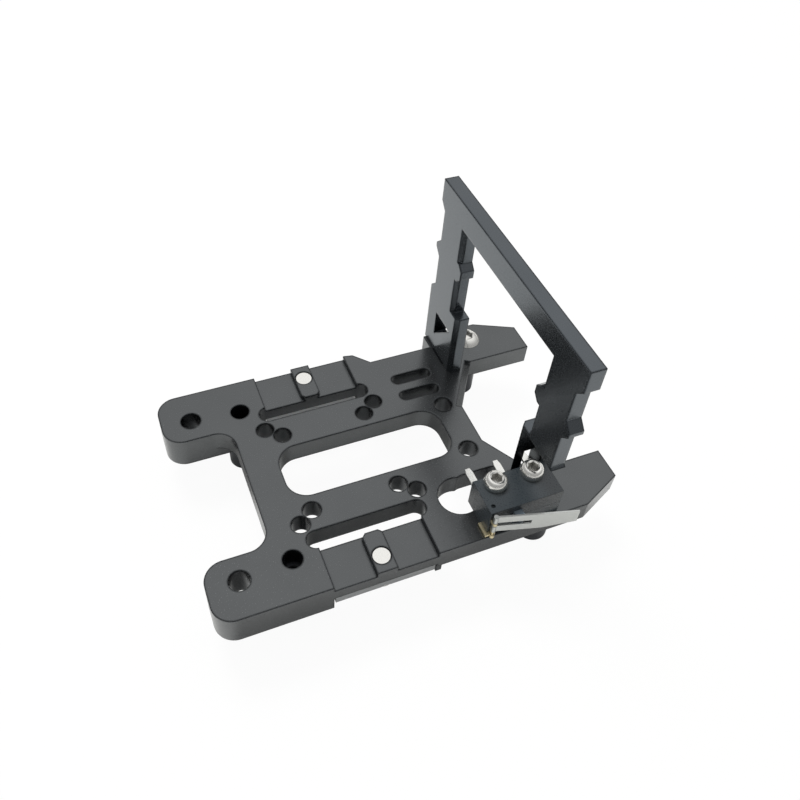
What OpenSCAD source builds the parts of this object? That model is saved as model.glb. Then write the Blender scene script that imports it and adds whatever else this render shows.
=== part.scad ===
// X carriage bracket of a belt-driven printer: a milled plate that bolts to a rail block, with an
// upright tool frame, two belt clamps and a small lever switch. X runs along the plate, Y across it,
// Z = 0 is the plate's top face and the origin is the middle of the rail block's bolt pattern.

/* [Carriage plate] */
// Thickness of the plate
plate_t = 4; // [3.7:0.1:4.6]
// Thickness of the two left arms
arm_t = 6.2; // [5.6:0.1:6.8]
// Half of the plate's width
half_w = 22.2; // [21.8:0.1:22.6]
// Distance from the origin to the ends of the left arms
left_end = 26.6; // [25.8:0.1:28]
// Width of a left arm
arm_w = 10.2; // [9.8:0.1:10.8]
// Corner radius of the left arms
arm_r = 3.4; // [2.5:0.1:4.5]
// Radius of the fillets between the left arms and the cross bar
notch_r = 3.4; // [2.5:0.1:4]
// Distance from the origin to the cross bar's left edge
bar_edge = 15.4; // [14.9:0.1:16]
// Distance from the origin to the cross bar's right edge
right_edge = 24.7; // [24.4:0.1:25]
// Distance from the origin to the tip of the far right arm
tip_x = 43.3; // [41:0.1:46]
// Width of a right arm
right_w = 9; // [8.8:0.1:9.4]

/* [Screw holes] */
// Bolt spacing of the wide rail block, both ways
wide_pitch = 20; // [19.8:0.1:20.2]
// Bolt spacing of the narrow rail block along the plate
narrow_pitch_x = 15; // [14.8:0.1:15.2]
// Bolt spacing of the narrow rail block across the plate
narrow_pitch_y = 16; // [15.8:0.1:16.2]
// Diameter of the rail block's screw holes
rail_hole_d = 3.1; // [3.05:0.05:3.15]
// Diameter of the holes at the ends of the left arms
arm_hole_d = 3.4; // [3:0.1:3.8]
// Diameter of the two holes beside the window
bar_hole_d = 3.3; // [3:0.1:3.6]

/* [Openings] */
// Left end of the middle window
window_x0 = -9.85; // [-10.2:0.05:-9.4]
// Right end of the middle window
window_x1 = 19.7; // [19.2:0.1:20.1]
// Half width of the middle window
window_half = 5.25; // [5:0.05:5.4]
// Corner radius of the middle window
window_r = 3.6; // [2.5:0.1:4.4]
// Half length of a belt slot
slot_half = 10.1; // [9.6:0.1:10.6]
// Inner edge of a belt slot from the middle line
slot_y0 = 11.75; // [11.6:0.05:12]
// Width of a belt slot
slot_w = 3.15; // [2.8:0.05:3.2]

/* [Belt channels and clamps] */
// Half width of a pair of belt channels
channel_half = 8.6; // [8.3:0.1:8.8]
// Depth of a belt channel below the plate's top
channel_depth = 1; // [0.8:0.05:1.2]
// Width of the rib between two channels
rib_w = 3.4; // [3.2:0.1:3.8]
// Thickness of the channel's floor
floor_t = 2.3; // [2:0.05:2.5]
// Thickness of a belt clamp
clamp_t = 1.8; // [1.5:0.1:2.2]
// Gap between a belt clamp and the walls beside it
clamp_gap = 0.3; // [0.2:0.05:0.5]
// Pitch of the belt's teeth
tooth_pitch = 2; // [2:1:3]
// Radius of a tooth groove
tooth_r = 0.55; // [0.45:0.05:0.6]
// Width of the lip that guides a clamp
lip_w = 1; // [0.8:0.1:1.2]

/* [Upright frame] */
// Distance from the origin to the frame's front face
frame_x = 25.7; // [25.6:0.05:25.9]
// Thickness of the frame
frame_t = 2.5; // [2.4:0.05:2.6]
// Height of the frame above the plate
frame_h = 35.7; // [34:0.1:38]
// How far the frame stands out past each side of the plate
frame_over = 0.4; // [0.2:0.1:0.8]
// Height of the top bar
top_bar = 5.2; // [4.6:0.1:6]
// Width of a leg, from the plate's side to the leg's inner face
leg_w = 8.1; // [7.9:0.1:8.3]
// Depth of the notches in the legs' outer edges
notch_d = 1.4; // [1:0.1:1.6]
// How far the inner bumps stand out of the legs
bump_out = 1.1; // [0.7:0.1:1.3]
// Height of the wide foot of each leg
foot_h = 13.3; // [12.9:0.1:13.6]
// Width of a foot, from the plate's side to the foot's inner face
foot_w = 10.3; // [10.1:0.1:10.6]
// Bevel along the front edges of the frame's window
frame_bevel = 0.7; // [0.4:0.1:0.9]

/* [Posts] */
// Distance from the plate's top down to the ends of the posts
post_drop = 13; // [11.5:0.1:16]
// Diameter of a post
post_d = 5.5; // [5.2:0.1:5.6]
// Bore of a post that takes a screw from below
post_bore_d = 2.5; // [2.4:0.05:2.6]
// Diameter of a post's spigot
spigot_d = 4.4; // [4.2:0.1:4.6]
// Length of a post's spigot
spigot_l = 1.9; // [1.5:0.1:2.2]

/* [Lever switch] */
// Left end of the switch's case
case_x = 16.9; // [16.7:0.05:17]
// Length of the case
case_l = 12.8; // [12.7:0.05:12.9]
// Depth of the case from its terminals to its lever side
case_d = 6.6; // [6.5:0.05:6.8]
// Thickness of the case
case_h = 5.8; // [5.6:0.1:6]
// Wall of the case round its cavity
case_wall = 0.8; // [0.7:0.05:0.9]
// Spacing of the two case screws
case_pitch = 6.5; // [6.4:0.05:6.6]
// Spacing of the terminals
terminal_pitch = 5.08; // [5.04:0.02:5.12]
// Length of the lever
lever_l = 13.2; // [12:0.1:15]
// Width of the lever
lever_w = 3.9; // [3.7:0.1:4.1]
// Angle of the free lever to the case, in degrees
lever_angle = 14.6; // [14:0.1:15.4]

/* [Hidden] */
// Smoothness of round faces, and a small overlap for clean cuts
$fn = 48;
eps = 0.02;
cut = 1;
// Fit of a screw's thread in its hole, and of a pressed spigot or tenon, per side
thread_gap = 0.03;
press_gap = 0.02;
// Screw sizes
m3_r = 1.5;
m3_clear_r = 1.7;
m3_head_r = 2.6;
m3_head_h = 1.6;
m3_key = 2;
flat_head_r = 2.7;
flat_head_h = 1.2;
m3_seat = 0.05;
socket_share = 0.6;
m2_r = 1;
m2_clear_r = 1.1;
m2_head_r = 1.95;
m2_head_h = 1.7;
m2_key = 1.5;
m2_chamfer = 0.3;
screw_share = 0.9;
// Belt channels and clamps
slot_y1 = slot_y0 + slot_w;
floor_z = -channel_depth - floor_t;
rib_chamfer = 0.6;
clamp_half = channel_half - clamp_gap;
clamp_in = 0.1;
clamp_y0 = slot_y1 + clamp_in;
clamp_out = 0.2;
clamp_y1 = half_w - clamp_out;
clamp_screw_side = 2.8;
clamp_screw_y = half_w - clamp_screw_side;
clamp_screw_top = -0.1;
lip_drop = 0.9;
lip_z = floor_z - clamp_t - lip_drop;
tooth_rows = 3;
tooth_start = 1.2;
tooth_inset = 0.4;
// Inner edges of the arms and the frame's legs, from the middle line
arm_inner = half_w - arm_w;
right_inner = half_w - right_w;
leg_inner = half_w - leg_w;
foot_inner = half_w - foot_w;
// Hole pairs, given by their distance from the arms' ends and sides, or from the window
arm_hole_end = 5.1;
arm_hole_side = 6.05;
arm_hole = [arm_hole_end - left_end, half_w - arm_hole_side];
post_hole_bar = 2.4;
post_hole_side = 6.8;
post_hole = [post_hole_bar - bar_edge, half_w - post_hole_side];
post_hole_d = 3.2;
bar_hole_end = 1.95;
bar_hole = [window_x1 + bar_hole_end, window_half];
// Right arms: roots, bevelled tips, and the dip in the far edge
far_root_y = 3.6;
far_root_run = 6.3;
far_root_x = right_edge + far_root_run;
near_root_y = 4.4;
near_root_run = 5.3;
near_root_x = right_edge + near_root_run;
near_tip_less = 0.4;
tip_bevel_x = 7.5;
tip_bevel_y = 3.4;
root_bevel = 1.2;
dip_d = 3.03;
dip_y = half_w - dip_d;
dip_gap = 0.3;
dip_x0 = channel_half + dip_gap;
dip_end = 0.5;
dip_x1 = frame_x - dip_end;
dip_turn_x = 1.5;
dip_turn_y = 0.3;
dip_slope = 4.1;
// Lightening slots beside the far foot
relief_gap = 3.1;
relief_l = 7.6;
relief_w = 2.2;
relief_side = 8.8;
relief_pitch = 4;
relief_x1 = frame_x - relief_gap;
// Posts under the right arms
far_post_back = 4.65;
far_post_side = 3.25;
far_post = [frame_x + frame_t + far_post_back, half_w - far_post_side];
near_post_end = 0.8;
near_post_side = 5.8;
near_post = [case_x + case_l + near_post_end, near_post_side - half_w];
screw_bore_r = m3_r + thread_gap;
countersink = 0.5;
// Upright frame's outline
frame_half = half_w + frame_over;
frame_top = frame_h - top_bar;
upper_notch_top = 5.5;
upper_notch_l = 6;
upper_notch_z = frame_h - upper_notch_top;
lower_notch_top = 15.1;
lower_notch_z = frame_h - lower_notch_top;
foot_rise = 1.2;
near_foot_rise = 0.4;
bump_top = 12.4;
bump_l = 1.6;
bump_z1 = frame_h - bump_top;
bump_z0 = bump_z1 - bump_l;
near_lip = 0.5;
near_cut_z = foot_h - near_lip;
near_wall = 0.8;
terminal_room = 0.4;
relief_z = 6;
web_gap = 0.25;
web_t = 1.5;
web_w = 2.8;
web_h = 9.8;
tenon_up = 1;
tenon_l = plate_t - tenon_up;
tenon_in = 0.3;
far_tenon_w = 4.2;
far_tenon_y = leg_inner + tenon_in;
foot_window_in = 2;
foot_window_w = 5.4;
foot_window_z0 = 3.6;
foot_window_z1 = 8.8;
foot_window_y = foot_inner + foot_window_in;
// Switch
case_side = 0.6;
case_front = case_side - half_w;
case_back = case_front + case_d;
case_mid = case_h / 2;
mark_x = 0.95;
mark_y = 1.2;
mark_r = 0.35;
mark_depth = 0.5;
step_w = 0.45;
step_depth = 0.3;
screw_in = 1.7;
screw_y = case_back - screw_in;
screw_x = [case_x + (case_l - case_pitch) / 2, case_x + (case_l + case_pitch) / 2];
terminal_seat = 2.9;
cavity_y0 = case_front + case_wall;
cavity_y1 = case_back - terminal_seat;
terminal_x = [for (i = [-1 : 1]) case_x + case_l / 2 + i * terminal_pitch];
terminal_w = 1.2;
terminal_t = 0.5;
terminal_out = 4;
terminal_tip_w = 0.8;
terminal_tip_l = 0.9;
// Back of the near foot's thin part and front of its rear web, clear of the last terminal
near_back = terminal_x[2] - terminal_w / 2 - terminal_room;
web_x = terminal_x[2] + terminal_w / 2 + web_gap;
blade_back = 0.9;
blade_y = cavity_y1 - blade_back;
blade_t = 0.2;
blade_w = 2;
blade_gap = 0.15;
contact_gap = 0.5;
// Opening in the plate below the terminals
terminal_gap_left = 0.9;
terminal_gap_back = 1.5;
terminal_gap = [case_x - terminal_gap_left, case_back + terminal_gap_back];
terminal_gap_r = 3.55;
wire_slot_l = 9.4;
wire_slot_w = 4.4;
wire_slot_back = 2.85;
wire_slot_y = case_back + wire_slot_back;
// Lever, its hinge and the plunger
lever_t = 0.3;
lever_up = 0.85;
lever_z0 = case_mid + lever_up - lever_w / 2;
clip_l = 5.6;
clip_h = 1.2;
fork_l = 5.8;
fork_w = 0.9;
pin_r = 0.2;
pin_gap = 0.05;
barrel_r = 0.4;
eye_cap = 0.4;
pin_end = 0.1;
hinge_in = 0.6;
hinge_gap = 0.25;
hinge = [case_x + hinge_in, case_front - barrel_r - hinge_gap];
brass_t = 0.3;
brass_out = 0.5;
brass_end_l = 2;
brass_end_h = 0.5;
brass_front = 1.3;
ear_t = 0.6;
ear_z0 = 0.1;
ear_top = lever_z0 + lever_w / 2 + ear_t / 2;
plunger_in = 4.9;
plunger_x = case_x + plunger_in;
plunger_w = 1.5;
plunger_gap = 0.1;
plunger_below = 1.1;
plunger_above = 1.4;
plunger_z0 = case_mid - plunger_below;
plunger_z1 = case_mid + plunger_above;
flange_side = 0.6;
flange_t = 0.7;
flange_rise = 0.4;
stop_gap = 0.1;
touch_gap = 0.06;
plunger_y = hinge[1] + (lever_t / 2 + plunger_w / 2 + touch_gap
    - (plunger_x - hinge[0]) * sin(lever_angle)) / cos(lever_angle);

// What every piece is called

// Shared shapes

// A slot with round ends along X
module slot_2d(x0, x1, w) {
    translate([x0 + w / 2, -w / 2]) square([x1 - x0 - w, w]);
    for (x = [x0 + w / 2, x1 - w / 2]) translate([x, 0]) circle(d = w);
}

// A rectangle with four round corners
module rounded_2d(x0, y0, x1, y1, r) {
    translate([x0 + r, y0]) square([x1 - x0 - 2 * r, y1 - y0]);
    translate([x0, y0 + r]) square([x1 - x0, y1 - y0 - 2 * r]);
    for (x = [x0 + r, x1 - r], y = [y0 + r, y1 - r]) translate([x, y]) circle(r);
}

// Anything on both sides of the middle line
module both_sides() {
    children();
    mirror([0, 1, 0]) children();
}

// A box between two corners
module block(low, high) {
    translate(low) cube(high - low);
}

// A drilled hole from z0 up to z1
module drill(p, r, z0, z1) {
    translate([p[0], p[1], z0]) cylinder(h = z1 - z0, r = r);
}

// A button-head screw that points up, with its head's flat side at z = 0
module button_screw(r, length, head_r, head_h, key) {
    dome_r = (head_r * head_r + head_h * head_h) / (2 * head_h);
    difference() {
        union() {
            cylinder(h = length, r = r);
            rotate_extrude() intersection() {
                translate([0, dome_r - head_h]) circle(dome_r);
                translate([0, -head_h]) square([head_r, head_h]);
            }
        }
        translate([0, 0, -head_h - cut])
            cylinder(h = head_h * socket_share + cut, d = key / cos(30), $fn = 6);
    }
}

// Carriage plate

// A left arm seen from above, on the far side
module left_arm_2d() {
    width = half_w - arm_inner;
    translate([-left_end, arm_inner]) {
        translate([arm_r, 0]) square([left_end - channel_half - arm_r, width]);
        translate([0, arm_r]) square([arm_r + eps, width - 2 * arm_r]);
        for (y = [arm_r, width - arm_r]) translate([arm_r, y]) circle(arm_r);
    }
}

// The round fillet between a left arm and the cross bar, on the far side
module notch_fillet_2d() {
    translate([-bar_edge - notch_r, arm_inner - notch_r]) difference() {
        square(notch_r + eps);
        circle(notch_r);
    }
}

// A right arm with its slanted root and bevelled tip, on the far side
module right_arm_2d(root_y, root_x, tip) {
    polygon([[right_edge - cut, 0], [right_edge, root_y], [root_x, right_inner], [tip, right_inner],
        [tip, half_w - tip_bevel_y], [tip - tip_bevel_x, half_w], [right_edge - cut, half_w]]);
}

module plate_2d() {
    difference() {
        union() {
            translate([-bar_edge, -half_w]) square([bar_edge + right_edge, 2 * half_w]);
            both_sides() {
                left_arm_2d();
                notch_fillet_2d();
            }
            right_arm_2d(far_root_y, far_root_x, tip_x);
            mirror([0, 1]) right_arm_2d(near_root_y, near_root_x, tip_x - near_tip_less);
        }
        rounded_2d(window_x0, -window_half, window_x1, window_half, window_r);
        // Shallow dip in the far edge
        polygon([[dip_x0, half_w + cut], [dip_x0, half_w], [dip_x0 + dip_turn_x, half_w - dip_turn_y],
            [dip_x0 + dip_slope, dip_y], [dip_x1, dip_y], [dip_x1, half_w + cut]]);
        // Opening below the switch's terminals
        translate(terminal_gap) circle(terminal_gap_r);
        translate([terminal_gap[0], wire_slot_y]) slot_2d(0, wire_slot_l, wire_slot_w);
        // Two plain lightening slots
        for (i = [0, 1]) translate([0, half_w - relief_side - i * relief_pitch])
            slot_2d(relief_x1 - relief_l, relief_x1, relief_w);
    }
}

// One side's channels and the seat of the clamp below them, as a cut
module channel_cut() {
    y0 = slot_y1 - slot_w / 2;
    y1 = half_w + cut;
    for (s = [0, 1]) mirror([s, 0, 0]) translate([0, 0, -channel_depth])
        linear_extrude(channel_depth + cut)
            polygon([[rib_w / 2 - rib_chamfer, y0], [channel_half, y0], [channel_half, y1], [rib_w / 2, y1],
                [rib_w / 2, slot_y1 + rib_chamfer], [rib_w / 2 - rib_chamfer, slot_y1]]);
    block([-channel_half, y0, -arm_t - cut], [channel_half, y1, floor_z]);
}

// Bevel along the slanted root of the far right arm
module root_bevel_cut() {
    run = [far_root_x - right_edge, right_inner - far_root_y];
    translate([right_edge, far_root_y, 0]) rotate([0, 0, atan2(run[1], run[0])])
        rotate([90, 0, 90]) linear_extrude(norm(run))
            polygon([[-cut, -root_bevel - cut], [root_bevel + cut, cut], [-cut, cut]]);
}

module carriage_plate() color("#3a3c3f") difference() {
    union() {
        translate([0, 0, -plate_t]) linear_extrude(plate_t) plate_2d();
        both_sides() {
            translate([0, 0, -arm_t]) linear_extrude(arm_t - eps) left_arm_2d();
            block([channel_half, slot_y1, lip_z],
                [channel_half + lip_w, half_w - dip_turn_y, -plate_t + eps]);
        }
    }
    both_sides() {
        translate([0, slot_y1 - slot_w / 2, -arm_t - cut]) linear_extrude(arm_t + 2 * cut)
            slot_2d(-slot_half, slot_half, slot_w);
        channel_cut();
        drill([0, clamp_screw_y], screw_bore_r, -arm_t, cut);
        drill(arm_hole, arm_hole_d / 2, -arm_t - cut, cut);
        drill(post_hole, post_hole_d / 2, -arm_t - cut, cut);
        drill(post_hole, spigot_d / 2 + press_gap, -arm_t - cut, -arm_t + spigot_l + thread_gap);
        drill(bar_hole, bar_hole_d / 2, -plate_t - cut, cut);
        for (s = [-1, 1]) {
            drill([s * wide_pitch / 2, wide_pitch / 2], rail_hole_d / 2, -plate_t - cut, cut);
            drill([s * narrow_pitch_x / 2, narrow_pitch_y / 2], rail_hole_d / 2, -plate_t - cut, cut);
        }
    }
    // Seats of the right posts and the far arm's screw hole
    drill(far_post, m3_clear_r, -plate_t - cut, cut);
    for (p = [far_post, near_post])
        drill(p, spigot_d / 2 + press_gap, -plate_t - cut, -plate_t + spigot_l + thread_gap);
    // Threads for the switch's screws
    for (x = screw_x) drill([x, screw_y], m2_r + thread_gap, -plate_t - cut, cut);
    // Mortises of the upright frame
    block([frame_x - press_gap, far_tenon_y - press_gap, -plate_t - cut],
        [frame_x + frame_t + press_gap, far_tenon_y + far_tenon_w + press_gap, cut]);
    block([frame_x - press_gap, -foot_inner - near_wall - press_gap, -plate_t - cut],
        [near_back + press_gap, -foot_inner + press_gap, cut]);
    root_bevel_cut();
}

// Upright frame

// A notch in a leg's outer edge, between two heights
module leg_notch_2d(z0, z1) {
    polygon([[frame_half + cut, z0 - notch_d - cut], [frame_half - notch_d, z0],
        [frame_half - notch_d, z1], [frame_half + cut, z1 + notch_d + cut]]);
}

// Half of the frame seen from the front, with its lower notch from a given height
module frame_half_2d(low_z) {
    difference() {
        square([frame_half, frame_h]);
        translate([-cut, -cut]) square([leg_inner + cut, frame_top + cut]);
        leg_notch_2d(upper_notch_z - upper_notch_l, upper_notch_z);
        leg_notch_2d(low_z, lower_notch_z);
    }
    polygon([[leg_inner + eps, bump_z1 + bump_out], [leg_inner - bump_out, bump_z1],
        [leg_inner - bump_out, bump_z0], [leg_inner + eps, bump_z0 - bump_out]]);
    translate([foot_inner, 0]) square([leg_inner - foot_inner + eps, foot_h]);
}

// The far leg's half with its three-cornered window and tenon
module far_half_2d() {
    difference() {
        frame_half_2d(foot_h + foot_rise);
        polygon([[foot_window_y, foot_window_z1], [foot_window_y + foot_window_w, foot_window_z1],
            [foot_window_y + foot_window_w, foot_window_z0]]);
    }
    translate([far_tenon_y, -tenon_l]) square([far_tenon_w, tenon_l + eps]);
}

// The near leg's half, cut away over the switch
module near_half_2d() {
    difference() {
        frame_half_2d(near_cut_z + near_foot_rise);
        translate([foot_inner + near_wall, -cut]) square([frame_half, near_cut_z + cut]);
    }
    translate([foot_inner, -tenon_l]) square([near_wall, tenon_l + eps]);
}

// The corner that a front bevel takes off, seen along the bevelled edge
module bevel_2d() {
    translate([frame_x, 0])
        polygon([[-cut, -cut], [frame_bevel + cut, -cut], [-cut, frame_bevel + cut]]);
}

// A bevel up one upright front edge of the window, on the far side
module edge_bevel(y, z0, z1) {
    translate([0, y, z0]) linear_extrude(z1 - z0) bevel_2d();
}

// Web behind the near foot that stands on the plate past the last terminal
module near_web() {
    block([web_x, -foot_inner - web_w, 0], [web_x + web_t, -foot_inner, web_h]);
    block([frame_x + frame_t - eps, -foot_inner - near_wall, relief_z],
        [web_x + eps, -foot_inner, web_h]);
}

// Where two bevels meet in an upper corner of the window, on the far side
module corner_bevel() intersection() {
    edge_bevel(leg_inner, frame_top - eps, frame_top + frame_bevel);
    translate([0, leg_inner + frame_bevel, frame_top]) rotate([90, 0, 0])
        linear_extrude(frame_bevel + eps) bevel_2d();
}

module upright_frame() color("#3f4145") difference() {
    union() {
        translate([frame_x, 0, 0]) rotate([90, 0, 90]) linear_extrude(frame_t) {
            far_half_2d();
            mirror([1, 0]) near_half_2d();
        }
        near_web();
    }
    // The near foot is thinner beside the switch's last terminal
    block([near_back, -foot_inner - near_wall - cut, -tenon_l - cut],
        [frame_x + frame_t + eps, -foot_inner + cut, relief_z]);
    both_sides() {
        edge_bevel(foot_inner, 0, foot_h);
        edge_bevel(leg_inner, foot_h, bump_z0 - bump_out);
        edge_bevel(leg_inner, bump_z1 + bump_out, frame_top);
        corner_bevel();
    }
    translate([0, leg_inner, frame_top]) rotate([90, 0, 0]) linear_extrude(2 * leg_inner) bevel_2d();
}

// Belt clamps

module belt_clamp() color("#b9bcbf") difference() {
    block([-clamp_half, clamp_y0, floor_z - clamp_t], [clamp_half, clamp_y1, floor_z]);
    drill([0, clamp_screw_y], m3_clear_r, floor_z - clamp_t - cut, floor_z + cut);
    translate([0, clamp_screw_y, floor_z - clamp_t - eps])
        cylinder(h = flat_head_h + m3_seat, r1 = flat_head_r + m3_seat, r2 = m3_r);
    // Grooves for the belt's teeth, on both sides of the screw
    for (s = [0, 1], i = [0 : tooth_rows - 1]) mirror([s, 0, 0])
        translate([rib_w / 2 + tooth_inset, clamp_y0 + tooth_start + i * tooth_pitch, floor_z])
            rotate([0, 90, 0]) cylinder(h = clamp_half, r = tooth_r);
}

// Countersunk screw from below, flush with the clamp, with its end level with the rib's top
module clamp_screw() color("#c9cbcd") translate([0, clamp_screw_y, floor_z - clamp_t]) difference() {
    union() {
        cylinder(h = clamp_screw_top - floor_z + clamp_t, r = m3_r);
        cylinder(h = flat_head_h, r1 = flat_head_r, r2 = m3_r);
    }
    translate([0, 0, -cut]) cylinder(h = flat_head_h + cut, d = m3_key / cos(30), $fn = 6);
}

module belt_clamp_far() belt_clamp();
module belt_clamp_near() mirror([0, 1, 0]) belt_clamp();
module clamp_screw_far() clamp_screw();
module clamp_screw_near() mirror([0, 1, 0]) clamp_screw();

// Posts

// A turned post with a spigot, whose shoulder is at the given height
module post(p, shoulder, bore_r) color("#2f3134") translate([p[0], p[1], -post_drop]) difference() {
    length = post_drop + shoulder;
    union() {
        cylinder(h = length, r = post_d / 2);
        cylinder(h = length + spigot_l, r = spigot_d / 2);
    }
    translate([0, 0, -cut]) cylinder(h = length + spigot_l + 2 * cut, r = bore_r);
    translate([0, 0, -eps]) cylinder(h = countersink, r1 = bore_r + countersink, r2 = bore_r);
}

module post_left_far() post(post_hole, -arm_t, post_bore_d / 2);
module post_left_near() post([post_hole[0], -post_hole[1]], -arm_t, post_bore_d / 2);
module post_right_far() post(far_post, -plate_t, screw_bore_r);
module post_right_near() post(near_post, -plate_t, post_bore_d / 2);

module arm_screw_far() color("#d2d4d6") translate([far_post[0], far_post[1], 0])
    rotate([180, 0, 0]) button_screw(m3_r, 2 * plate_t, m3_head_r, m3_head_h, m3_key);

// Lever switch

// The slot that a terminal leaves the case through
module terminal_slot() {
    w = terminal_w / 2 + press_gap;
    t = terminal_t / 2 + press_gap;
    block([-w, cavity_y1 - cut, -t], [w, case_back + cut, t]);
}

// One half of the case, between two heights
module case_half(z0, z1) {
    difference() {
        block([case_x, case_front, z0], [case_x + case_l, case_back, z1]);
        block([case_x + case_wall, cavity_y0, case_wall],
            [case_x + case_l - case_wall, cavity_y1, case_h - case_wall]);
        for (x = screw_x) drill([x, screw_y], m2_clear_r, -cut, case_h + cut);
        for (x = terminal_x)
            translate([x, 0, case_mid]) terminal_slot();
        block([plunger_x - plunger_w / 2 - plunger_gap, case_front - cut, plunger_z0 - plunger_gap],
            [plunger_x + plunger_w / 2 + plunger_gap, cavity_y0 + cut, plunger_z1 + plunger_gap]);
        // Rebate for the brass strip behind the lever's eyes
        block([hinge[0] - press_gap, case_front - cut, -cut],
            [case_x + brass_front + press_gap, case_front + brass_t + press_gap,
                ear_top + press_gap]);
    }
}

module switch_base() color("#26282b") case_half(0, case_mid);

module switch_cover() color("#2c2e31") difference() {
    case_half(case_mid, case_h);
    // Small moulding mark and the shallow step along the terminal side
    drill([case_x + mark_x, case_front + mark_y], mark_r, case_h - mark_depth, case_h + cut);
    block([case_x - cut, case_back - step_w, case_h - step_depth],
        [case_x + case_l + cut, case_back + cut, case_h + cut]);
}

// A flat terminal with a tapered tip, from a given depth in the case
module terminal(i, inner) color("#cfd1d0") {
    w = terminal_w / 2;
    tip = terminal_tip_w / 2;
    end = case_back + terminal_out;
    translate([terminal_x[i], 0, case_mid - terminal_t / 2]) linear_extrude(terminal_t)
        polygon([[-w, inner], [w, inner], [w, end - terminal_tip_l], [tip, end], [-tip, end],
            [-w, end - terminal_tip_l]]);
}

module terminal_common() terminal(0, blade_y + blade_t);
module terminal_closed() terminal(1, blade_y + blade_t);
module terminal_open() terminal(2, blade_y + blade_t + contact_gap);

module contact_blade() color("#c9a14a")
    block([case_x + case_wall + blade_gap, blade_y, case_mid - blade_w / 2],
        [case_x + case_l - case_wall - blade_gap, blade_y + blade_t, case_mid + blade_w / 2]);

// Brass strip round the foot of the case's corner, with two ears that hold the lever's hinge pin
module hinge_bracket() color("#c8a54c") {
    block([case_x - brass_out, case_front - brass_out, ear_z0],
        [case_x, case_front + brass_end_l, ear_z0 + brass_end_h]);
    block([case_x - brass_out, case_front - brass_out, ear_z0],
        [case_x + brass_front, case_front, ear_z0 + brass_end_h]);
    block([hinge[0], case_front - eps, ear_z0],
        [case_x + brass_front, case_front + brass_t, ear_top]);
    for (z = [ear_z0, ear_top - ear_t]) {
        translate([hinge[0], hinge[1], z]) cylinder(h = ear_t, r = barrel_r);
        block([hinge[0] - barrel_r, hinge[1], z],
            [hinge[0] + barrel_r, case_front, z + ear_t]);
    }
    translate([hinge[0], hinge[1], ear_z0])
        cylinder(h = lever_z0 + lever_w - eye_cap - pin_end - ear_z0, r = pin_r);
}

// Forked sheet lever whose two rolled eyes turn on the pin, with a lower edge that rises to the tip
module switch_lever() color("#d4d6d3")
    translate([hinge[0], hinge[1], lever_z0]) rotate([0, 0, -lever_angle]) difference() {
        union() {
            cylinder(h = lever_w, r = barrel_r);
            translate([0, lever_t / 2, 0]) rotate([90, 0, 0]) linear_extrude(lever_t)
                polygon([[0, 0], [lever_l - clip_l, 0], [lever_l, clip_h],
                    [lever_l, lever_w], [0, lever_w]]);
        }
        translate([0, 0, -cut]) cylinder(h = lever_w - eye_cap + cut, r = pin_r + pin_gap);
        block([-cut, -cut, (lever_w - fork_w) / 2], [fork_l, cut, (lever_w + fork_w) / 2]);
    }

// Plunger with a round nose and a stop flange inside the case
module switch_plunger() color("#8d97a3") {
    w = plunger_w / 2;
    inner = cavity_y0 + flange_t;
    translate([plunger_x, plunger_y, plunger_z0]) cylinder(h = plunger_z1 - plunger_z0, r = w);
    block([plunger_x - w, plunger_y, plunger_z0], [plunger_x + w, inner, plunger_z1]);
    block([plunger_x - w - flange_side, cavity_y0 + stop_gap, plunger_z0 - flange_rise],
        [plunger_x + w + flange_side, inner, plunger_z1 + flange_rise]);
}

// Cap screw through the case into the plate
module switch_screw(i) color("#d8d9da") translate([screw_x[i], screw_y, case_h]) difference() {
    reach = case_h + plate_t * screw_share;
    union() {
        translate([0, 0, -reach]) cylinder(h = reach + eps, r = m2_r);
        cylinder(h = m2_head_h - m2_chamfer, r = m2_head_r);
        translate([0, 0, m2_head_h - m2_chamfer])
            cylinder(h = m2_chamfer, r1 = m2_head_r, r2 = m2_head_r - m2_chamfer);
    }
    translate([0, 0, m2_head_h / 2]) cylinder(h = m2_head_h, d = m2_key / cos(30), $fn = 6);
}

module switch_screw_left() switch_screw(0);
module switch_screw_right() switch_screw(1);

carriage_plate();
upright_frame();
belt_clamp_far();
belt_clamp_near();
clamp_screw_far();
clamp_screw_near();
post_left_far();
post_left_near();
post_right_far();
post_right_near();
arm_screw_far();
switch_base();
switch_cover();
terminal_common();
terminal_closed();
terminal_open();
contact_blade();
hinge_bracket();
switch_plunger();
switch_lever();
switch_screw_left();
switch_screw_right();
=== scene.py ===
import math

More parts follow.
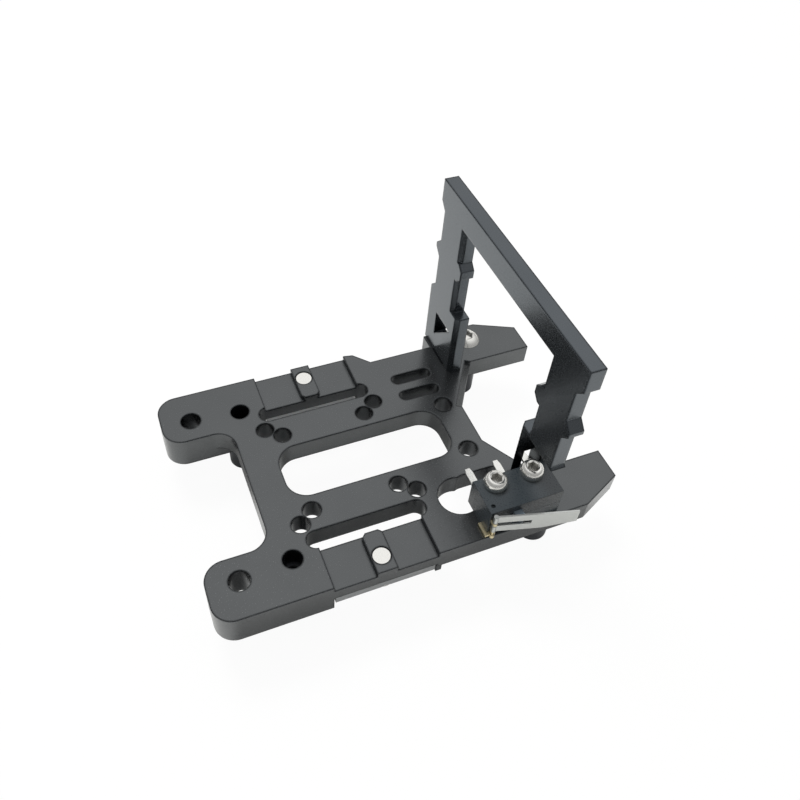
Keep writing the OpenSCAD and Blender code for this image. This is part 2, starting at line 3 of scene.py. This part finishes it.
import bpy
import numpy as np
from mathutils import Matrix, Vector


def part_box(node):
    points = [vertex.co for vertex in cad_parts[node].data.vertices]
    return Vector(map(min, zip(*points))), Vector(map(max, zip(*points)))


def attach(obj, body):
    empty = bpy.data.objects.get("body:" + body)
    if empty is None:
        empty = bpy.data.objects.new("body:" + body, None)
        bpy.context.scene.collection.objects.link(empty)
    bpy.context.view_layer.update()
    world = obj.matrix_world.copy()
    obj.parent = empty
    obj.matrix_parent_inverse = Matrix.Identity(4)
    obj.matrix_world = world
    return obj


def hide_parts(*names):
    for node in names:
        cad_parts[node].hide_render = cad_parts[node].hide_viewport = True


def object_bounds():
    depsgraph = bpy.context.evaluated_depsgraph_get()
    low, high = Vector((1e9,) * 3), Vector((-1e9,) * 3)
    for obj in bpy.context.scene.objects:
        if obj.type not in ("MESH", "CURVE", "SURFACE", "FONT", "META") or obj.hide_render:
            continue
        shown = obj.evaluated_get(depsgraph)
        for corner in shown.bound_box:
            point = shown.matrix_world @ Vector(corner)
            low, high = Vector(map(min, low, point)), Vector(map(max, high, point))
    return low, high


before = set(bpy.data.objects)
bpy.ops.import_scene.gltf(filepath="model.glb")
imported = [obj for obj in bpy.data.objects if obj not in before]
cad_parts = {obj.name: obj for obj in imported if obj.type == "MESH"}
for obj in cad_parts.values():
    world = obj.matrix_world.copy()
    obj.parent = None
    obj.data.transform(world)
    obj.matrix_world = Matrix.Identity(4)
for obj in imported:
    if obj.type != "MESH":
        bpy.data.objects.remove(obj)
cad_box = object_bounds()
MM = 0.001


# Camera
# It stands in front of the plate's near left corner and looks down on it, where the two nested
# hole patterns of the plate put it.
CAMERA_AT = (-28.79 * MM, -76.75 * MM, 111.21 * MM)
CAMERA_TURN = (42.509, -3.045, -21.675)
camera_data = bpy.data.cameras.new("camera")
camera_data.lens = 36.664
camera_data.sensor_width = 36.0
camera_data.shift_x = 0.0202
camera_data.shift_y = -0.0346
camera_data.clip_start = 5 * MM
camera_data.clip_end = 20.0
camera = bpy.data.objects.new("camera", camera_data)
camera.location = CAMERA_AT
camera.rotation_euler = [math.radians(a) for a in CAMERA_TURN]
bpy.context.scene.collection.objects.link(camera)
bpy.context.scene.camera = camera
bpy.context.scene.view_settings.view_transform = "Standard"


# Carriage plate and upright frame
# Both are milled from aluminium plate, blasted with fine beads and anodised black. The frame
# stands in the plate across its right end.
PLATE_COLOUR = "#5c5e5f"
PLATE_PALE = "#626465"
FRAME_COLOUR = "#575c60"
FRAME_PALE = "#5e6266"
# The colour of the painted shade on broken edges and inside bores and slots.
PAINTED_SHADE_COLOUR = "#191d21"
ANODISED_METALLIC = 0.95
ANODISED_GLOSS = (0.2, 0.28)
MOTTLE_MM = 7.0
# Real bead marks are finer, and are drawn this coarse so that they show.
BEAD_MM = 0.25
BEAD_STRENGTH = 0.05
# A blasted, milled or moulded surface is this uneven.
RELIEF_MM = 0.02
# Edges are broken this wide. Painted shade darkens them between these cosines of the edge's turn from the
# flat.
EDGE_MM = 0.5
EDGE_FACING = (0.99, 0.9)
# How much painted shade darkens the broken edges.
EDGE_PAINTED_SHADE = 0.85
# Painted shade inside bores and slots reaches this far, and darkens them this much.
BORE_MM = 6.0
BORE_PAINTED_SHADE = 0.75
# The share of open space over a point where it starts to count as hollow, and where it is all hollow.
OPEN_SHARE = (0.6, 0.1)
# Nearly all values of a noise texture lie between these.
NOISE_SPAN = (0.3, 0.7)
RAYS = 6


def linear(colour):
    """An sRGB hex colour as linear red, green, blue and alpha, by the sRGB standard's curve."""
    parts = np.array([int(colour[i : i + 2], 16) for i in (1, 3, 5)]) / 255
    low = parts / 12.92
    high = ((parts + 0.055) / 1.055) ** 2.4
    return (*np.where(parts <= 0.04045, low, high), 1.0)


def feed(tree, node, sockets):
    """Gives a node's inputs, by name or number, a value or another node's output."""
    for name, value in sockets.items():
        if isinstance(value, bpy.types.NodeSocket):
            tree.links.new(value, node.inputs[name])
        else:
            node.inputs[name].default_value = value


def add(tree, kind, sockets=None, **settings):
    """One shader node. Settings are its own attributes, and sockets is what its inputs get."""
    made = tree.nodes.new(kind)
    for name, value in settings.items():
        setattr(made, name, value)
    feed(tree, made, sockets or {})
    return made


def start(name):
    """A new material's node tree, its object coordinates and its shader."""
    material = bpy.data.materials.new(name)
    material.use_nodes = True
    tree = material.node_tree
    where = add(tree, "ShaderNodeTexCoord").outputs["Object"]
    return material, tree, where, tree.nodes["Principled BSDF"]


def dress(material, *names):
    """Gives a material to CAD nodes or new pieces."""
    for name in names:
        piece = bpy.data.objects[name]
        piece.data.materials.clear()
        piece.data.materials.append(material)


def hollow(tree, reach_mm, most):
    """How far a point lies inside a bore, slot or corner, as a share of painted shade: 0 in the open and
    most where little of the half space over it is open within the reach."""
    shelter = add(tree, "ShaderNodeAmbientOcclusion", {"Distance": reach_mm * MM}, samples=RAYS)
    depth = add(tree, "ShaderNodeMapRange",
                {0: shelter.outputs["AO"], 1: OPEN_SHARE[0], 2: OPEN_SHARE[1], 3: 0.0, 4: most})
    return depth.outputs[0]


def anodised(name, colour, pale):
    """Black anodised aluminium: a dark metallic film over a blasted surface. The beads give a fine
    grain and a satin gloss, and the dye varies a little. Painted shade darkens the colour on the broken
    edges and inside bores and slots."""
    material, tree, where, shader = start(name)
    mottle = add(tree, "ShaderNodeTexNoise",
                 {"Vector": where, "Scale": 1 / (MOTTLE_MM * MM), "Detail": 3.0})
    dye = add(tree, "ShaderNodeMix", {0: mottle.outputs[0], 6: linear(colour), 7: linear(pale)},
              data_type="RGBA")
    round_edge = add(tree, "ShaderNodeBevel", {"Radius": EDGE_MM * MM}, samples=RAYS)
    beads = add(tree, "ShaderNodeTexNoise",
                {"Vector": where, "Scale": 1 / (BEAD_MM * MM), "Detail": 2.0})
    gloss = add(tree, "ShaderNodeMapRange",
                {0: beads.outputs[0], 1: NOISE_SPAN[0], 2: NOISE_SPAN[1],
                 3: ANODISED_GLOSS[0], 4: ANODISED_GLOSS[1]})
    bump = add(tree, "ShaderNodeBump",
               {"Strength": BEAD_STRENGTH, "Distance": RELIEF_MM * MM,
                "Height": beads.outputs[0], "Normal": round_edge.outputs[0]})
    flat = add(tree, "ShaderNodeNewGeometry").outputs["Normal"]
    facing = add(tree, "ShaderNodeVectorMath", {0: round_edge.outputs[0], 1: flat},
                 operation="DOT_PRODUCT")
    # Painted shade on the broken edges.
    broken = add(tree, "ShaderNodeMapRange",
                 {0: facing.outputs["Value"], 1: EDGE_FACING[0], 2: EDGE_FACING[1], 3: 0.0, 4: EDGE_PAINTED_SHADE})
    # Painted shade: the larger of the edges' share and the bores' and slots' share.
    dark = add(tree, "ShaderNodeMath", {0: broken.outputs[0], 1: hollow(tree, BORE_MM, BORE_PAINTED_SHADE)},
               operation="MAXIMUM")
    # The dye, darkened by painted shade on the edges and in bores and slots.
    dye_and_shade = add(tree, "ShaderNodeMix", {0: dark.outputs[0], 6: dye.outputs[2], 7: linear(PAINTED_SHADE_COLOUR)},
               data_type="RGBA")
    feed(tree, shader, {"Base Color": dye_and_shade.outputs[2], "Roughness": gloss.outputs[0],
                        "Normal": bump.outputs[0], "Metallic": ANODISED_METALLIC})
    return material


dress(anodised("black_anodised_aluminium", PLATE_COLOUR, PLATE_PALE), "carriage_plate")
dress(anodised("black_anodised_frame", FRAME_COLOUR, FRAME_PALE), "upright_frame")


# Posts
# Four stand-offs turned from aluminium bar and anodised black. The spigot at each one's top is
# pressed into the plate from below.
POST_COLOUR = "#54565a"
POST_PALE = "#606266"
POST_METALLIC = 0.9
POST_ROUGHNESS = 0.3
TURNING_MM = 0.35
TURNING_STRENGTH = 0.2
TURNING_WANDER = 0.3
WAVE_TURN = math.pi / 10


def turned(name, colour, pale):
    """Turned and anodised bar: the tool leaves fine rings round the bar, which catch the light. A wave
    texture has one band for each pi / 10 of its scaled length."""
    material, tree, where, shader = start(name)
    rings = add(tree, "ShaderNodeTexWave",
                {"Vector": where, "Scale": WAVE_TURN / (TURNING_MM * MM), "Distortion": TURNING_WANDER},
                bands_direction="Z")
    tint = add(tree, "ShaderNodeMix", {0: rings.outputs[1], 6: linear(colour), 7: linear(pale)},
               data_type="RGBA")
    bump = add(tree, "ShaderNodeBump",
               {"Strength": TURNING_STRENGTH, "Distance": RELIEF_MM * MM, "Height": rings.outputs[1]})
    feed(tree, shader, {"Base Color": tint.outputs[2], "Normal": bump.outputs[0],
                        "Metallic": POST_METALLIC, "Roughness": POST_ROUGHNESS})
    return material


dress(turned("turned_black_bar", POST_COLOUR, POST_PALE),
      "post_left_far", "post_left_near", "post_right_far", "post_right_near")


# Belt clamps
# Two small bars of bare aluminium, milled with grooves for the belt's teeth. A screw draws each one
# up under the plate's side edge.
CLAMP_COLOUR = "#9c9ea0"
CLAMP_PALE = "#b0b2b3"
# The colour of the painted shade in the recesses of bare metal, how far it reaches and how much it
# darkens.
RECESS_SHADE_COLOUR = "#38362f"
RECESS_MM = 2.0
RECESS_PAINTED_SHADE = 0.75
LINE_STRETCH = 30
LINE_STRENGTH = 0.05
BARE_EDGE_MM = 0.1
# A bare or moulded surface is rougher and smoother than its mean by this much.
GLOSS_SPREAD = 0.06


def brushed(name, colour, pale, line_mm, along, roughness):
    """Bare metal with fine lines along one axis from milling, rolling or drawing: long thin noise
    in colour, gloss and height. Painted shade darkens its recesses."""
    material, tree, where, shader = start(name)
    stretch = [1 / (line_mm * MM)] * 3
    stretch["xyz".index(along)] /= LINE_STRETCH
    spread = add(tree, "ShaderNodeMapping", {"Vector": where, "Scale": stretch})
    lines = add(tree, "ShaderNodeTexNoise", {"Vector": spread.outputs[0], "Scale": 1.0, "Detail": 3.0})
    tint = add(tree, "ShaderNodeMix", {0: lines.outputs[0], 6: linear(colour), 7: linear(pale)},
               data_type="RGBA")
    gloss = add(tree, "ShaderNodeMapRange",
                {0: lines.outputs[0], 1: NOISE_SPAN[0], 2: NOISE_SPAN[1],
                 3: roughness - GLOSS_SPREAD, 4: roughness + GLOSS_SPREAD})
    round_edge = add(tree, "ShaderNodeBevel", {"Radius": BARE_EDGE_MM * MM}, samples=RAYS)
    bump = add(tree, "ShaderNodeBump",
               {"Strength": LINE_STRENGTH, "Distance": RELIEF_MM * MM,
                "Height": lines.outputs[0], "Normal": round_edge.outputs[0]})
    # Painted shade darkens the recesses.
    recess_shaded = add(tree, "ShaderNodeMix",
                {0: hollow(tree, RECESS_MM, RECESS_PAINTED_SHADE), 6: tint.outputs[2], 7: linear(RECESS_SHADE_COLOUR)},
                data_type="RGBA")
    feed(tree, shader, {"Base Color": recess_shaded.outputs[2], "Roughness": gloss.outputs[0],
                        "Normal": bump.outputs[0], "Metallic": 1.0})
    return material


dress(brushed("milled_aluminium", CLAMP_COLOUR, CLAMP_PALE, line_mm=0.25, along="x", roughness=0.32),
      "belt_clamp_far", "belt_clamp_near")


# Clamp screws
# Two countersunk stainless screws that draw the clamps up from below. Their turned ends come level
# with the ribs between the belt channels. Lengths in this section and the next ones are in mm.
STEEL_COLOUR = "#e2e1dc"
STEEL_PALE = "#f2f1ed"
AROUND = 72
SHARP_DEGREES = 32
CLAMP_KEY = 2.0
CLAMP_HEAD = 1.2
CLAMP_HEAD_R = 2.7
CLAMP_R = 1.5
CLAMP_END = 0.1
RIM = 0.08
MOUTH = 0.14


def screw(name, node, profile, key, first_hex, last_hex):
    """A screw as one closed surface round its axis, in place of its node. The profile's points (radius,
    height) in mm run from the middle of one end along the outside to the middle of the other. At angle
    t each turns into (radius cos t, radius sin t, height); from row first_hex to row last_hex the
    radius is that of the key's hexagon, half its width over the cosine of the angle to the next flat."""
    low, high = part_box(node)
    middle = [(low[0] + high[0]) / 2, (low[1] + high[1]) / 2]
    profile = np.array(profile)
    turn = 2 * np.pi * np.arange(AROUND) / AROUND
    hexagon = key / 2 / np.cos(turn % (np.pi / 3) - np.pi / 6)
    row = np.arange(len(profile))[:, None]
    in_socket = (row >= first_hex) & (row <= last_hex)
    radius = np.where(in_socket, hexagon, profile[:, :1]) * MM
    height = np.broadcast_to(profile[:, 1:] * MM, radius.shape)
    skin = np.stack([middle[0] + radius * np.cos(turn), middle[1] + radius * np.sin(turn), height], axis=2)
    poles = [[*middle, profile[0, 1] * MM], [*middle, profile[-1, 1] * MM]]
    points = np.concatenate([skin.reshape(-1, 3), poles])
    start_of = AROUND * np.arange(len(profile) - 1)[:, None]
    here = np.arange(AROUND)
    after = (here + 1) % AROUND
    walls = np.stack([start_of + here, start_of + after, start_of + AROUND + after,
                      start_of + AROUND + here], axis=2).reshape(-1, 4)
    first_pole, last_pole = len(points) - 2, len(points) - 1
    last_row = AROUND * (len(profile) - 1)
    first_fan = np.stack([np.full(AROUND, first_pole), after, here], axis=1)
    last_fan = np.stack([np.full(AROUND, last_pole), last_row + here, last_row + after], axis=1)
    mesh = bpy.data.meshes.new(name)
    mesh.from_pydata(points.tolist(), [], walls.tolist() + first_fan.tolist() + last_fan.tolist())
    mesh.polygons.foreach_set("use_smooth", np.ones(len(mesh.polygons), dtype=bool))
    mesh.set_sharp_from_angle(angle=math.radians(SHARP_DEGREES))
    piece = bpy.data.objects.new(name, mesh)
    bpy.context.scene.collection.objects.link(piece)
    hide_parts(node)
    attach(piece, "bracket")
    dress(steel, name)


steel = brushed("stainless_steel", STEEL_COLOUR, STEEL_PALE, line_mm=0.2, along="z", roughness=0.22)
for side in ("far", "near"):
    low, high = np.array(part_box("clamp_screw_" + side))[:, 2] / MM
    section = [(0.0, low + CLAMP_HEAD), (CLAMP_KEY / 2, low + CLAMP_HEAD), (CLAMP_KEY / 2, low + MOUTH),
               (CLAMP_KEY / math.sqrt(3) + MOUTH, low), (CLAMP_HEAD_R - CLAMP_END, low),
               (CLAMP_HEAD_R, low + RIM), (CLAMP_R, low + CLAMP_HEAD), (CLAMP_R, high - CLAMP_END),
               (CLAMP_R - CLAMP_END, high)]
    screw("clamp_screw_%s_turned" % side, "clamp_screw_" + side, section, CLAMP_KEY, 1, 2)


# Arm screw
# A stainless button-head screw in the far right arm, which holds the post under it. The head is part
# of a sphere, and the shank's end is bevelled.
BUTTON_KEY = 2.0
BUTTON_SOCKET = 1.0
END_BEVEL = 0.3


def arc(middle, across, up, first, last, steps=12):
    """Points (radius from the axis, height) on an ellipse in the screw's section, from one angle to
    another in degrees: middle plus (across times cosine, up times sine)."""
    angle = np.radians(np.linspace(first, last, steps))
    return np.stack([middle[0] + across * np.cos(angle), middle[1] + up * np.sin(angle)], axis=1)


corners = np.array(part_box("arm_screw_far")) / MM
low, high = corners[:, 2]
button_r = (corners[1, 0] - corners[0, 0]) / 2
dome_r = (button_r ** 2 + high ** 2) / (2 * high)
mouth_r = BUTTON_KEY / math.sqrt(3) + MOUTH
rim_angle = math.degrees(math.acos(button_r / dome_r))
mouth_angle = math.degrees(math.acos(mouth_r / dome_r))
dome = arc((0, high - dome_r), dome_r, dome_r, rim_angle, mouth_angle)
section = [(CLAMP_R - END_BEVEL, low), (CLAMP_R, low + END_BEVEL), (CLAMP_R, 0), (button_r - RIM, 0),
           *dome, (BUTTON_KEY / 2, dome[-1][1] - MOUTH), (BUTTON_KEY / 2, high - BUTTON_SOCKET)]
screw("arm_screw_far_turned", "arm_screw_far", section, BUTTON_KEY, len(section) - 2, len(section) - 1)


# Switch case
# A base and a cover moulded from dark glass-filled plastic, which meet in a seam at half the case's
# thickness. Two screws hold both on the plate.
PLASTIC_COLOUR = "#2b3135"
PLASTIC_PALE = "#31383c"
PLASTIC_IOR = 1.53
# Real mould grain is finer, and is drawn this coarse so that it shows.
GRAIN_MM = 0.25
GRAIN_STRENGTH = 0.08
MOULDED_EDGE_MM = 0.15


def moulded(name, colour, pale, roughness):
    """Moulded plastic: a fine eroded mould texture, slightly uneven in colour and gloss."""
    material, tree, where, shader = start(name)
    grain = add(tree, "ShaderNodeTexNoise",
                {"Vector": where, "Scale": 1 / (GRAIN_MM * MM), "Detail": 3.0})
    tint = add(tree, "ShaderNodeMix", {0: grain.outputs[0], 6: linear(colour), 7: linear(pale)},
               data_type="RGBA")
    gloss = add(tree, "ShaderNodeMapRange",
                {0: grain.outputs[0], 1: NOISE_SPAN[0], 2: NOISE_SPAN[1],
                 3: roughness - GLOSS_SPREAD, 4: roughness + GLOSS_SPREAD})
    round_edge = add(tree, "ShaderNodeBevel", {"Radius": MOULDED_EDGE_MM * MM}, samples=RAYS)
    bump = add(tree, "ShaderNodeBump",
               {"Strength": GRAIN_STRENGTH, "Distance": RELIEF_MM * MM,
                "Height": grain.outputs[0], "Normal": round_edge.outputs[0]})
    feed(tree, shader, {"Base Color": tint.outputs[2], "Roughness": gloss.outputs[0],
                        "Normal": bump.outputs[0], "IOR": PLASTIC_IOR})
    return material


dress(moulded("glass_filled_plastic", PLASTIC_COLOUR, PLASTIC_PALE, roughness=0.3),
      "switch_base", "switch_cover")


# Terminals, contact blade and hinge strip
# The terminals are stamped from plated strip; the blade and the strip round the case's corner, which
# carries the lever's pin, are spring brass.
TERMINAL_COLOUR = "#e0e0dc"
TERMINAL_PALE = "#f2f2ee"
BRASS_COLOUR = "#d6c79d"
BRASS_PALE = "#ece2c4"
dress(brushed("plated_strip", TERMINAL_COLOUR, TERMINAL_PALE, line_mm=0.15, along="y", roughness=0.25),
      "terminal_common", "terminal_closed", "terminal_open")
dress(brushed("spring_brass", BRASS_COLOUR, BRASS_PALE, line_mm=0.15, along="z", roughness=0.45),
      "contact_blade", "hinge_bracket")


# Lever and plunger
# The lever is a forked strip of stainless spring steel that turns on the pin. It presses a small
# acetal plunger into the case.
LEVER_COLOUR = "#bcbebc"
LEVER_PALE = "#cccecb"
PLUNGER_COLOUR = "#6b7782"
PLUNGER_PALE = "#76828c"
dress(brushed("rolled_spring_steel", LEVER_COLOUR, LEVER_PALE, line_mm=0.2, along="x", roughness=0.35),
      "switch_lever")
dress(moulded("acetal", PLUNGER_COLOUR, PLUNGER_PALE, roughness=0.35), "switch_plunger")


# Switch screws
# Two small stainless screws with tall rounded heads and hexagon sockets, which go through the case
# into the plate.
CAP_R = 1.95
CAP_RIM = 0.3
CAP_KEY = 1.6
CAP_SOCKET = 1.2
CAP_SHANK_R = 1.0
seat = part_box("switch_cover")[1][2] / MM
mouth_r = CAP_KEY / math.sqrt(3) + MOUTH
for side in ("left", "right"):
    low, high = np.array(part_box("switch_screw_" + side))[:, 2] / MM
    section = [(CAP_SHANK_R - END_BEVEL, low), (CAP_SHANK_R, low + END_BEVEL), (CAP_SHANK_R, seat),
               (CAP_R - RIM, seat), (CAP_R, seat + RIM),
               *arc((mouth_r, seat + CAP_RIM), CAP_R - mouth_r, high - seat - CAP_RIM, 0, 90),
               (CAP_KEY / 2, high - MOUTH), (CAP_KEY / 2, high - CAP_SOCKET)]
    screw("switch_screw_%s_turned" % side, "switch_screw_" + side, section, CAP_KEY,
          len(section) - 2, len(section) - 1)


# Floor and light
# A pale floor under the posts' ends in a plain white room. The camera sees the floor nearly white, with
# a faint shadow, and a soft lamp behind the object lights the floor.
FLOOR_COLOUR = "#f0f0ee"
FLOOR_ROUGHNESS = 0.8
FLOOR_HALF = 3.0
FLOOR_SHOWN = 0.95
FLOOR_GLOSS = 0.05
WHITE = (1, 1, 1, 1)


def white_share(tree, shown):
    """How much of the floor or the room is plain white to a ray: shown for the camera's rays, and a
    small share for mirrored rays and those through clear things."""
    path = add(tree, "ShaderNodeLightPath")
    clear = add(tree, "ShaderNodeMath",
                {0: path.outputs["Is Glossy Ray"], 1: path.outputs["Is Transmission Ray"]},
                operation="MAXIMUM")
    mirrored = add(tree, "ShaderNodeMath", {0: clear.outputs[0], 1: FLOOR_GLOSS}, operation="MULTIPLY")
    seen = add(tree, "ShaderNodeMath", {0: path.outputs["Is Camera Ray"], 1: shown}, operation="MULTIPLY")
    share = add(tree, "ShaderNodeMath", {0: seen.outputs[0], 1: mirrored.outputs[0]}, operation="MAXIMUM")
    return share.outputs[0]


floor_z = cad_box[0][2]
corner = np.array([[-1, -1, 0], [1, -1, 0], [1, 1, 0], [-1, 1, 0]]) * FLOOR_HALF + [0, 0, floor_z]
floor_mesh = bpy.data.meshes.new("floor")
floor_mesh.from_pydata(corner.tolist(), [], [(0, 1, 2, 3)])
floor = bpy.data.objects.new("floor", floor_mesh)
bpy.context.scene.collection.objects.link(floor)
floor_paint, floor_tree, _, floor_shader = start("pale_floor")
feed(floor_tree, floor_shader, {"Base Color": linear(FLOOR_COLOUR), "Roughness": FLOOR_ROUGHNESS})
glow = add(floor_tree, "ShaderNodeEmission", {"Color": WHITE, "Strength": 1.0})
blend = add(floor_tree, "ShaderNodeMixShader",
            {0: white_share(floor_tree, FLOOR_SHOWN), 1: floor_shader.outputs[0], 2: glow.outputs[0]})
feed(floor_tree, floor_tree.nodes["Material Output"], {"Surface": blend.outputs[0]})
dress(floor_paint, "floor")

# The room is bright overhead, behind and to the right, and dimmer low down in front, where the viewer
# stands.
ROOM_BRIGHT = (0.3, 0.3, 0.905)
ROOM_SPREAD = (0.35, 1.0)
ROOM_HIGH = 1.05
ROOM_LOW = 0.35
ROOM_SHOWN = 1.0
world = bpy.data.worlds.new("room")
world.use_nodes = True
bpy.context.scene.world = world
room = world.node_tree
way = add(room, "ShaderNodeTexCoord").outputs["Generated"]
towards = add(room, "ShaderNodeVectorMath", {0: way, 1: ROOM_BRIGHT}, operation="DOT_PRODUCT")
level = add(room, "ShaderNodeMapRange",
            {0: towards.outputs["Value"], 1: ROOM_SPREAD[0], 2: ROOM_SPREAD[1], 3: ROOM_LOW, 4: ROOM_HIGH},
            interpolation_type="SMOOTHSTEP")
lit = add(room, "ShaderNodeMix", {0: white_share(room, ROOM_SHOWN), 2: level.outputs[0], 3: 1.0})
feed(room, room.nodes["Background"], {"Color": WHITE, "Strength": lit.outputs[0]})

# The lamp is high behind the object, turned towards it, and metal doesn't mirror it.
LAMP_WIDE = 0.24
LAMP_WATTS = 2.6
LAMP_AT = (-0.06, 0.27, 0.53)
LAMP_TURN = (-26.7, -6.4, 0)
lamp_data = bpy.data.lights.new("softbox", "AREA")
lamp_data.shape = "DISK"
lamp_data.size = LAMP_WIDE
lamp_data.energy = LAMP_WATTS
lamp = bpy.data.objects.new("softbox", lamp_data)
lamp.location = LAMP_AT
lamp.rotation_euler = [math.radians(a) for a in LAMP_TURN]
lamp.visible_glossy = False
bpy.context.scene.collection.objects.link(lamp)
